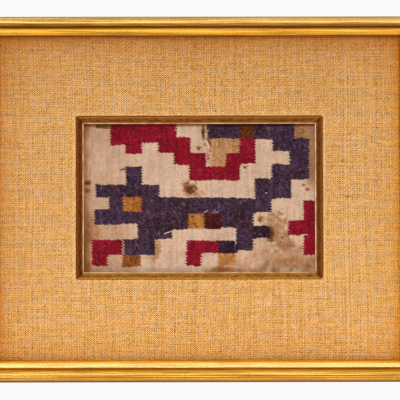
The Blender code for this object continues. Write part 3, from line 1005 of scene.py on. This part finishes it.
# Each yarn's colour and how strongly it is mottled
yarns = {
    "cream": ((0.56, 0.388, 0.281), 0.0),
    "crimson": ((0.203, 0.0026, 0.0158), 0.5),
    "indigo": ((0.041, 0.0192, 0.039), 1.0),
    "navy": ((0.022, 0.0088, 0.0215), 1.3),
    "orange": ((0.36, 0.127, 0.026), 0.45),
    "gold": ((0.365, 0.145, 0.033), 0.4),
    "paleGold": ((0.4, 0.177, 0.048), 0.3),
    "maroon": ((0.054, 0.004, 0.004), 0.7),
    "brown": ((0.21, 0.063, 0.013), 0.45),
    "darkBrown": ((0.084, 0.018, 0.0047), 0.8),
    "tanGold": ((0.42, 0.208, 0.091), 0.25),
    "pinkTan": ((0.297, 0.153, 0.081), 0.5),
    "oliveBrown": ((0.2, 0.1, 0.03), 0.5),
    "white": ((0.62, 0.5, 0.43), 0.0),
    "pale": ((0.74, 0.5, 0.36), 0.0),
}

# Blocks of the stepped pattern: yarn, left, right, top, bottom in steps from the chart's corner
stepBlocks = [
    ("crimson", 1.13, 5.18, -0.6, 0.95), ("crimson", 1.13, 3.07, 0.9, 1.5),
    ("crimson", 2.05, 3.07, 1.4, 2.06),
    ("crimson", 3.0, 4.1, 0.9, 1.31), ("crimson", 4.05, 5.2, 0.9, 2.02),
    ("crimson", 5.1, 6.02, 0.92, 2.04),
    ("crimson", 5.0, 6.98, 1.98, 2.85), ("crimson", 5.93, 9.05, 2.83, 3.95),
    ("crimson", 8.17, 10.02, 1.98, 2.78),
    ("crimson", 8.15, 9.12, 2.7, 3.0), ("crimson", 9.02, 10.0, 0.98, 2.05),
    ("crimson", 5.93, 7.0, 1.98, 3.0),
    ("indigo", 7.05, 9.0, -0.6, 1.0), ("indigo", 9.88, 12.4, -0.6, 1.02),
    ("indigo", 11.05, 12.15, 1.0, 1.88),
    ("indigo", 12.1, 13.33, 0.98, 3.95), ("indigo", 11.0, 12.2, 2.83, 5.25),
    ("indigo", 9.95, 11.05, 3.82, 5.25),
    ("indigo", 9.8, 10.97, 5.2, 6.2),
    ("indigo", 0.22, 4.13, 4.27, 5.17), ("indigo", 2.07, 3.05, 2.95, 4.3),
    ("indigo", 1.03, 4.2, 5.1, 6.1),
    ("indigo", 4.1, 9.87, 5.17, 7.28), ("indigo", 0.12, 4.2, 6.0, 7.08),
    ("indigo", 2.78, 5.9, 6.9, 7.43),
    ("indigo", 2.8, 4.9, 7.1, 8.15), ("indigo", 1.95, 3.87, 8.12, 9.27),
    ("indigo", 8.8, 9.87, 7.2, 8.92),
    ("navy", 7.75, 8.95, 8.2, 9.1), ("navy", 9.85, 10.9, 7.15, 8.05),
    ("orange", 1.92, 3.0, 5.13, 6.17), ("gold", 5.88, 6.86, 6.35, 7.4),
    ("paleGold", 7.72, 8.83, 9.1, 9.95),
    ("maroon", 6.88, 7.92, 6.33, 7.4), ("brown", 1.87, 2.97, 9.27, 10.12),
    ("darkBrown", 9.0, 9.9, -0.6, 0.98),
    ("tanGold", 7.05, 9.02, 0.98, 1.97), ("tanGold", 7.25, 8.18, 1.9, 2.95),
    ("pinkTan", 12.4, 13.25, -0.4, 0.98),
    ("oliveBrown", 0.2, 1.13, -0.5, 0.3),
    ("crimson", -0.02, 1.87, 8.15, 9.27), ("crimson", -0.02, 0.95, 9.2, 10.0),
    ("crimson", 5.8, 7.76, 8.22, 9.12),
    ("crimson", 5.75, 6.7, 9.05, 10.06), ("crimson", 12.95, 13.9, 5.45, 9.28),
    ("crimson", 12.0, 13.1, 6.8, 7.85),
    ("cream", 6.98, 7.25, 1.9, 2.93), ("cream", 6.8, 7.12, 0.98, 1.97),
    ("darkBrown", 6.12, 6.22, 7.0, 7.13), ("darkBrown", 6.37, 6.49, 7.14, 7.27),
    ("darkBrown", 6.05, 6.3, 6.5, 6.56),
    ("navy", 12.12, 12.3, 3.3, 3.42), ("navy", 12.45, 12.6, 3.36, 3.48),
    ("navy", 12.75, 12.95, 3.42, 3.55),
]

# Stains: colour, strength, centre in steps, half widths in steps, raggedness
stains = [
    ((0.13, 0.042, 0.015), 0.95, 5.97, 4.5, 0.36, 0.42, 1.0),
    ((0.3, 0.13, 0.055), 0.65, 6.25, 4.85, 0.5, 0.4, 1.1),
    ((0.09, 0.035, 0.012), 0.92, 6.79, 0.62, 0.1, 0.55, 0.45),
    ((0.2, 0.09, 0.04), 0.7, 6.88, 0.35, 0.08, 0.5, 0.6),
    ((0.1, 0.045, 0.02), 0.75, 7.03, 0.23, 0.035, 0.36, 0.4),
    ((0.3, 0.14, 0.08), 0.8, 6.91, 1.4, 0.09, 0.17, 0.3),
    ((0.12, 0.05, 0.02), 0.85, 7.17, 1.16, 0.05, 0.2, 0.4),
    ((0.07, 0.03, 0.012), 0.95, 7.31, 1.55, 0.07, 0.18, 0.4),
    ((0.09, 0.035, 0.015), 0.9, 7.25, 1.93, 0.06, 0.07, 0.2),
    ((0.12, 0.05, 0.02), 0.85, 7.2, 2.17, 0.06, 0.06, 0.2),
    ((0.12, 0.04, 0.02), 0.85, 7.15, 2.42, 0.05, 0.07, 0.2),
    ((0.14, 0.06, 0.03), 0.8, 7.2, 2.68, 0.06, 0.06, 0.2),
    ((0.2, 0.07, 0.04), 0.5, 7.08, 2.3, 0.08, 0.5, 0.6),
    ((0.28, 0.17, 0.07), 0.5, 6.5, 1.58, 0.16, 0.14, 0.6),
    ((0.16, 0.06, 0.02), 0.9, -0.28, 4.1, 0.2, 0.2, 0.5),
    ((0.3, 0.12, 0.045), 0.7, -0.32, 4.7, 0.16, 0.25, 0.6),
    ((0.3, 0.13, 0.055), 0.75, 11.15, 7.4, 0.8, 1.3, 1.2),
    ((0.22, 0.09, 0.035), 0.6, 11.9, 8.5, 0.5, 0.5, 0.9),
    ((0.33, 0.15, 0.065), 0.75, 12.9, 9.8, 1.3, 0.5, 0.7),
    ((0.3, 0.12, 0.04), 0.8, 8.0, 10.3, 1.0, 0.25, 0.7),
    ((0.22, 0.09, 0.03), 0.8, 10.3, 6.7, 0.16, 0.3, 0.6),
    ((0.16, 0.06, 0.02), 0.85, 12.93, 4.3, 0.13, 0.12, 0.5),
    ((0.16, 0.06, 0.02), 0.8, 13.2, 4.6, 0.12, 0.12, 0.5),
    ((0.13, 0.05, 0.02), 0.85, 6.5, 1.7, 0.1, 0.15, 0.6),
    ((0.2, 0.09, 0.03), 0.55, 8.75, 1.6, 0.28, 0.3, 0.9),
    ((0.42, 0.2, 0.1), 0.25, 11.6, 9.7, 2.0, 1.1, 0.8),
    ((0.3, 0.13, 0.05), 0.5, 3.9, 8.9, 0.35, 0.9, 0.9),
    ((0.36, 0.16, 0.07), 0.6, 0.1, 7.6, 0.45, 0.9, 0.8),
    ((0.12, 0.05, 0.02), 0.6, 9.35, 3.05, 0.12, 0.1, 0.4),
    ((0.15, 0.055, 0.022), 0.85, 11.0, 7.7, 0.2, 0.5, 0.8),
]


def chartPlace(x, z):
    # Place in steps, with a slow drift of the weave, teeth on the upright edges and waves on the level ones
    m = cloth
    drift = cloudNoise(x * 18 + 3, z * 22 + 5, 401, 2) - 0.5
    saw = np.tanh(2.2 * np.sin(2 * math.pi * (z / m["toothPitch"] + 1.3 * drift)))
    uneven = 0.3 + 1.4 * latticeNoise(x * 80, z / m["toothPitch"] * 1.7, 421)
    stray = latticeNoise(x * 420, z * 1250, 431) - 0.5
    wave = cloudNoise(x * 140, z * 40, 411, 3) - 0.5
    nick = latticeNoise(x * 620, z * 260, 433) - 0.5
    sideways = m["toothDepth"] * saw * uneven + 0.8 * mm * stray
    u = (x + sideways - m["chartLeft"]) / m["stepWidth"] + 0.07 * drift
    v = (m["chartTop"] - z) / m["stepHeight"] + 0.14 * drift + 0.14 * wave + 0.07 * nick
    return u, v


def leaningPlace(x, z, lean):
    # Place along and across a line that leans by this angle from upright
    angle = math.radians(lean)
    return x * math.sin(angle) + z * math.cos(angle), x * math.cos(angle) - z * math.sin(angle)


def leaningMarks(x, z, lean, seed):
    # Fine noise drawn out along a leaning line, for slack and rubbed yarn
    along, across = leaningPlace(x, z, lean)
    return latticeNoise(along * 330, across * 950, seed)


def leaningCloud(x, z, lean, seed):
    # Soft patches drawn out along a leaning line
    along, across = leaningPlace(x, z, lean)
    return cloudNoise(along * 80, across * 190, seed, 3)


def blockColours(x, z):
    # Each point takes the yarn of the last block that it lies in, and cream elsewhere
    u, v = chartPlace(x, z)
    colour = np.empty(x.shape + (3,))
    colour[...] = yarns["cream"][0]
    strength = np.zeros(x.shape)
    for yarn, left, right, top, bottom in stepBlocks:
        inside = (u > left) & (u < right) & (v > top) & (v < bottom)
        colour[inside], strength[inside] = yarns[yarn]
    return colour, strength


def mottledYarn(colour, strength, dyed, cloudy, x, z):
    # Tone is 1 plus rows, clouds, grain, leaning marks and upright threads with painted shade between the
    # warp ribs, each by the yarn's strength
    plain = 1 - dyed
    rowTone = latticeNoise(x * 30, z * 900, 431) - 0.5
    patchy = smoothStep(0.4, 0.7, cloudNoise(x * 55 + 9, z * 70, 443, 3))[..., None] * dyed[..., None]
    browner = colour * np.array([0.9, 0.76, 0.62])
    colour = colour + (browner - colour) * patchy
    grainy = latticeNoise(x * 1100, z * 1100, 451) - 0.5
    marks = leaningMarks(x, z, 28, 453) + leaningMarks(x, z, -24, 455) - 1.0
    deep = smoothStep(0.73, 0.88, leaningMarks(x, z, 20, 457)) * strength
    pale = smoothStep(0.8, 0.93, leaningMarks(x, z, -35, 459)) * strength
    # Upright lines: the warps' threads, partly painted shade between their ribs
    uprightThreadsAndShade = latticeNoise(x * 620, z * 45, 461) - 0.5
    columns = latticeNoise(x * 300, z * 22, 465) - 0.5
    tone = 1 + (0.1 + 0.3 * strength) * rowTone + (0.22 + 0.3 * strength) * cloudy
    tone = tone + (0.3 + 2 * strength) * grainy + (0.08 + 0.3 * strength) * marks
    tone = tone + (0.2 + 0.4 * strength) * uprightThreadsAndShade + 0.35 * strength * columns
    tone = np.maximum(tone, 0.5) * (1 - 0.3 * deep)
    colour = colour * tone[..., None] + 0.07 * pale[..., None] * np.array([1.0, 0.6, 0.65])
    blush = plain * (cloudNoise(x * 260, z * 260, 463, 2) - 0.5)
    return colour * (1 + blush[..., None] * np.array([0.1, -0.12, -0.1]))


def stainedAndShadedYarn(colour, dyed, cloudy, x, z):
    # Stains, soiled patches low down and darker strips along the left, right and top edges multiply the
    # colour by their shade over cream, to the power of their amount; a painted shadow then darkens the yarn
    # just under the top lip
    plain = 1 - dyed
    su = (x - cloth["chartLeft"]) / cloth["stepWidth"]
    sv = (cloth["chartTop"] - z) / cloth["stepHeight"]
    stainGrain = 0.5 * latticeNoise(x * 900, z * 900, 491) + 0.5 * latticeNoise(x * 420, z * 420, 493)
    ground = np.array(yarns["cream"][0])
    for number, (shade, depth, cu, cv, ru, rv, ragged) in enumerate(stains):
        blur = cloudNoise(x * 380, z * 380, 500 + 5 * number, 3) - 0.5
        r = np.hypot((su - cu) / ru, (sv - cv) / rv) + ragged * 1.8 * blur
        amount = depth * (1 - smoothStep(0.25, 1.35, r)) * (0.6 + 0.8 * stainGrain) * (1 - 0.85 * dyed)
        colour = colour * (np.array(shade) / ground) ** amount[..., None]
    grainShare = 0.84 + 0.32 * stainGrain
    wander = 0.5 * (cloudNoise(x * 60, z * 90, 461) - 0.5)
    leftStrip = (1 - smoothStep(-0.6, 0.0, su + wander)) * plain
    leftStrip = 1.15 * leftStrip * (0.35 + 0.95 * cloudNoise(x * 500, z * 30, 471, 2))
    leftStrip = leftStrip + 0.2 * (1 - smoothStep(1.0, 3.5, su)) * plain
    leftStrip = leftStrip * (0.55 + 0.5 * smoothStep(4, 7.5, sv) + 0.45 * (1 - smoothStep(0, 2, sv)))
    rightStrip = 0.75 * smoothStep(12.9, 13.4, su) * (1 - smoothStep(3.4, 5.2, sv)) * plain
    topStrip = (1 - smoothStep(-0.3, 0.3, sv)) * 0.35 * plain
    clouds = 0.75 * leaningCloud(x, z, 40, 481) + 0.25 * cloudNoise(x * 300, z * 300, 483, 2)
    lowShare = 0.1 + 0.7 * smoothStep(8.2, 9.8, sv + 0.3 * (su - 11.5)) + 0.2 * smoothStep(7, 9, sv)
    soiled = smoothStep(0.25, 0.8, clouds) * lowShare * plain
    for amount, shade in ((leftStrip, (0.22, 0.085, 0.03)), (rightStrip, (0.26, 0.12, 0.05)),
                          (topStrip, (0.3, 0.13, 0.05)), (0.8 * soiled, (0.32, 0.15, 0.075))):
        power = np.clip(amount, 0, 1.2) * grainShare
        colour = colour * (np.array(shade) / ground) ** power[..., None]
    # Painted shadow of the slip's top lip on the yarn just below it
    lipShadow = (1 - smoothStep(0.06, 0.2, sv + 0.06 * cloudy))[..., None]
    return colour * np.array([0.62, 0.38, 0.3]) ** lipShadow


def yarnPattern(x, z):
    # The yarn's colour at each point: blocks, then mottling, then stains and the shade under the lip
    colour, strength = blockColours(x, z)
    dyed = (strength > 0).astype(float)
    cloudy = cloudNoise(x * 90, z * 90, 441, 3) - 0.5
    colour = mottledYarn(colour, strength, dyed, cloudy, x, z)
    return np.clip(stainedAndShadedYarn(colour, dyed, cloudy, x, z), 0.002, 0.95)


def clothDepth(x, z):
    # The cloth's front face with its low swells, without its fine ribs
    m = cloth
    swell = m["relief"] * (cloudNoise(x * m["reliefScale"], z * m["reliefScale"], 601) - 0.5) * 1.4
    return m["front"] - 0.12 * mm + swell


def clothBake(xz):
    # The cloth laid flat in the bake map, 0.225 m to the map's width
    return np.stack([(xz[:, 0] - cloth["left"]) / 0.225 + 0.005,
                     (xz[:, 1] - cloth["bottom"]) / 0.225 + 0.005], axis=-1)


def makeCloth():
    # The front grid, walls round its edge and one flat back face
    m = cloth
    columns = int((m["right"] - m["left"]) / m["cell"]) + 1
    rows = int((m["top"] - m["bottom"]) / m["cell"]) + 1
    x, z = np.meshgrid(np.linspace(m["left"], m["right"], columns),
                       np.linspace(m["bottom"], m["top"], rows))
    rib = 0.05 * mm * (np.cos(2 * math.pi * x / (1.9 * mm) + 2 * cloudNoise(x * 30, z * 30, 611)) +
                       latticeNoise(x * 250, z * 1650, 621) * 1.5)
    y = -(clothDepth(x, z) + rib)
    front = np.stack([x, y, z], axis=-1).reshape(-1, 3)
    colour = yarnPattern(x, z).reshape(-1, 3)
    quads = gridCorners(rows, columns)[0]
    edge = np.concatenate([np.arange(columns), np.arange(1, rows) * columns + columns - 1,
                           (rows - 1) * columns + np.arange(columns - 2, -1, -1),
                           np.arange(rows - 2, 0, -1) * columns])
    back = front[edge].copy()
    back[:, 1] = -m["back"]
    first = len(front)
    ring = np.arange(len(edge))
    nextRing = (ring + 1) % len(edge)
    walls = np.stack([edge, first + ring, first + nextRing, edge[nextRing]], axis=-1)
    points = np.concatenate([front, back])
    colours = np.concatenate([colour, colour[edge]])
    quads = np.concatenate([quads[:, ::-1], walls])
    backFace = (first + ring)[::-1]
    return points, quads, backFace, colours


def clothPlace(u, v):
    # A place in steps as metres on the cloth
    return cloth["chartLeft"] + u * cloth["stepWidth"], cloth["chartTop"] - v * cloth["stepHeight"]


def joinTubes(name, routes, radius, colours, taper, sidesAround):
    # Thin tubes along many routes of the same number of points, in one mesh: a ring is carried along each
    # route on two directions square to it, and both ends are closed
    count, steps = routes.shape[:2]
    tangent = np.gradient(routes, axis=1)
    tangent = tangent / np.maximum(np.linalg.norm(tangent, axis=2, keepdims=True), 1e-9)
    first = np.cross(tangent, np.array([0.0, -1.0, 0.001]))
    first = first / np.maximum(np.linalg.norm(first, axis=2, keepdims=True), 1e-9)
    second = np.cross(tangent, first)
    turn = np.linspace(0, 2 * math.pi, sidesAround, endpoint=False)
    size = np.asarray(radius).reshape(-1, 1, 1, 1) * taper[None, :, None, None]
    cosine = np.cos(turn)[None, None, :, None]
    sine = np.sin(turn)[None, None, :, None]
    points = routes[:, :, None, :] + size * (first[:, :, None, :] * cosine + second[:, :, None, :] * sine)
    quads = gridCorners(steps, sidesAround, closeColumns=True)[0]
    offset = (np.arange(count) * steps * sidesAround)[:, None, None]
    everyQuad = (quads[None] + offset).reshape(-1, 4)
    flat = points.reshape(-1, 3)
    starts = offset[:, 0] + np.arange(sidesAround)
    finishes = offset[:, 0] + steps * sidesAround - 1 - np.arange(sidesAround)
    ends = np.stack([starts, finishes], axis=1).reshape(-1, sidesAround)
    if signedVolume(points[0].reshape(-1, 3), quads) < 0:
        everyQuad = everyQuad[:, ::-1]
    else:
        ends = ends[:, ::-1]
    perPoint = np.repeat(colours, steps * sidesAround, axis=0)
    corners = np.concatenate([everyQuad.ravel(), ends.ravel()])
    xz = flat[corners][:, [0, 2]]
    piece = addMesh(name, flat, everyQuad, ends, {"OFBake": clothBake(xz), "weft": xz}, None,
                    {"yarn": perPoint})
    piece.data.materials.append(tapestryYarn)
    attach(piece, "root")
    return piece


# Loose yarn ends: yarn, radius in mm, then points in steps and mm above the cloth
looseEnds = [
    ("indigo", 0.3, [(2.35, 3.05, 0.2), (2.15, 3.0, 0.5), (1.92, 3.12, 0.8), (1.68, 3.26, 0.5)]),
    ("indigo", 0.22, [(2.2, 3.3, 0.2), (2.02, 3.22, 0.5), (1.88, 3.2, 0.5), (1.76, 3.16, 0.4)]),
    ("white", 0.32, [(4.38, 7.78, 0.3), (4.5, 7.66, 0.7), (4.66, 7.66, 0.7), (4.86, 7.52, 0.3)]),
    ("white", 0.26, [(4.4, 7.7, 0.3), (4.55, 7.7, 0.6), (4.6, 7.6, 0.6), (4.78, 7.6, 0.3)]),
    ("white", 0.35, [(12.88, 7.86, 0.3), (12.98, 7.78, 0.7), (13.08, 7.84, 0.7), (13.2, 7.76, 0.3)]),
    ("white", 0.24, [(8.66, 7.86, 0.3), (8.72, 8.1, 0.6), (8.82, 8.32, 0.6), (8.72, 8.6, 0.3)]),
    ("white", 0.2, [(8.82, 7.72, 0.3), (8.66, 7.98, 0.6), (8.76, 8.2, 0.6), (8.84, 8.46, 0.3)]),
    ("white", 0.2, [(6.82, 6.28, 0.3), (6.92, 6.12, 0.6), (6.98, 6.22, 0.6), (7.08, 6.02, 0.3)]),
    ("white", 0.18, [(7.5, 6.32, 0.3), (7.58, 6.16, 0.6), (7.66, 6.28, 0.6), (7.76, 6.05, 0.3)]),
    ("white", 0.18, [(7.38, 6.3, 0.3), (7.42, 6.2, 0.5), (7.5, 6.12, 0.5), (7.52, 6.0, 0.3)]),
    ("white", 0.26, [(10.58, 4.92, 0.3), (10.64, 4.84, 0.6), (10.7, 4.88, 0.6), (10.74, 4.8, 0.3)]),
    ("pale", 0.62, [(6.88, 1.08, 0.2), (7.0, 1.22, 0.6), (7.12, 1.44, 0.7), (7.17, 1.8, 0.2)]),
    ("cream", 0.34, [(6.98, 0.3, 0.2), (6.96, 0.6, 0.5), (6.94, 0.85, 0.5), (6.96, 1.15, 0.2)]),
    ("darkBrown", 0.34, [(6.9, 0.95, 0.2), (7.08, 1.08, 0.6), (7.22, 1.3, 0.6), (7.3, 1.6, 0.2)]),
    ("brown", 0.26, [(6.84, 0.2, 0.2), (6.78, 0.5, 0.6), (6.9, 0.8, 0.6), (6.86, 1.15, 0.2)]),
    ("pale", 0.34, [(7.3, 1.95, 0.2), (7.26, 2.25, 0.5), (7.3, 2.5, 0.5), (7.24, 2.8, 0.2)]),
    ("cream", 0.26, [(7.2, 2.05, 0.2), (7.24, 2.3, 0.6), (7.2, 2.6, 0.6), (7.26, 2.9, 0.2)]),
    ("brown", 0.2, [(9.22, 2.92, 0.2), (9.34, 3.06, 0.6), (9.46, 3.0, 0.6), (9.6, 2.9, 0.2)]),
    ("brown", 0.22, [(6.42, 1.62, 0.2), (6.54, 1.74, 0.6), (6.6, 1.6, 0.6), (6.76, 1.7, 0.2)]),
]


def makeLooseEnds():
    # Each end is a smooth curve through its four points, with a little crimp
    share = np.linspace(0, 1, 15)
    knots = np.linspace(0, 1, 4)
    routes = []
    for yarn, radius, points in looseEnds:
        given = np.array(points)
        u, v, lift = (np.interp(share, knots, given[:, k]) for k in range(3))
        smooth = np.array([0.25, 0.5, 0.25])
        for repeat in range(3):
            for line in (u, v, lift):
                line[1:-1] = np.convolve(line, smooth, mode="valid")
        x, z = clothPlace(u, v)
        crimp = 0.16 * mm * np.sin(share * 22)
        y = -(clothDepth(x, z) + (lift - 0.1) * mm)
        routes.append(np.stack([x + crimp, y, z + crimp * 0.6], axis=-1))
    radii = np.array([radius for yarn, radius, points in looseEnds]) * mm
    shades = np.array([yarns[yarn][0] for yarn, radius, points in looseEnds])
    taper = np.clip(np.minimum(share, 1 - share) * 6 + 0.35, 0, 1)
    return joinTubes("loose_yarn_ends", np.array(routes), radii, shades, taper, 6)


def makeFuzz():
    # Short wool hairs that stand a little off the yarn, bent at random and coloured by the yarn below
    rng = np.random.default_rng(73)
    count = cloth["fuzzHairs"]
    x = rng.uniform(-105 * mm, 105 * mm, count)
    z = rng.uniform(-228 * mm, -93.5 * mm, count)
    heading = rng.uniform(0, 2 * math.pi, count)
    length = rng.uniform(0.9 * mm, 2.6 * mm, count)
    bend = rng.normal(0, 0.9, count)
    share = np.linspace(0, 1, 5)
    turn = heading[:, None] + bend[:, None] * share[None, :]
    px = x[:, None] + np.cumsum(np.cos(turn), axis=1) * length[:, None] / 5
    pz = z[:, None] + np.cumsum(np.sin(turn), axis=1) * length[:, None] / 5
    lift = 0.3 * mm + rng.uniform(0.1 * mm, 0.6 * mm, count)[:, None] * np.sin(share * 2.4)[None, :]
    py = -(clothDepth(px, pz) + lift - 0.15 * mm)
    shades = np.clip(yarnPattern(x, z) * rng.uniform(0.9, 1.7, count)[:, None], 0, 0.85)
    radii = rng.uniform(0.05, 0.085, count) * mm
    taper = np.array([0.9, 1.0, 0.9, 0.7, 0.35])
    return joinTubes("wool_fuzz", np.stack([px, py, pz], axis=-1), radii, shades, taper, 3)


def finishCloth():
    # The cloth's object, and its loose ends and fuzz
    points, quads, backFace, colours = makeCloth()
    corners = np.concatenate([quads.ravel(), backFace])
    xz = points[corners][:, [0, 2]]
    piece = addMesh("tapestry_cloth", points, quads, [backFace], {"OFBake": clothBake(xz), "weft": xz},
                    None, {"yarn": colours})
    piece.data.materials.append(tapestryYarn)
    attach(piece, "root")
    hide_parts("textile")
    ends = makeLooseEnds()
    fuzz = makeFuzz()


finishCloth()
print("tapestry made")


# Boards keep their CAD shape

def dressBoards():
    for node, material in (("mat_board", makeMatBoard()), ("backing_board", makeBackingBoard())):
        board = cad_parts[node]
        for place in range(max(1, len(board.material_slots))):
            if place < len(board.material_slots):
                board.material_slots[place].material = material
            else:
                board.data.materials.append(material)


dressBoards()


def makeFloor():
    half = studio["floorSize"] / 2
    height = studio["floorHeight"]
    points = np.array([(-half, -half, height), (half, -half, height),
                       (half, half, height), (-half, half, height)])
    floor = addMesh("studio_floor", points, np.array([[0, 1, 2, 3]]))
    material, tree, shader = newMaterial("pale_floor")
    mottle = addNode(tree, "ShaderNodeTexNoise", {
        "Vector": objectVector(tree), "Scale": 3.0, "Detail": 4.0})
    tree.links.new(mixColour(tree, mottle.outputs["Fac"], (0.78, 0.77, 0.75), (0.83, 0.82, 0.8)),
                   shader.inputs["Base Color"])
    shader.inputs["Roughness"].default_value = 0.8
    floor.data.materials.append(material)


makeFloor()
print("boards and floor dressed")
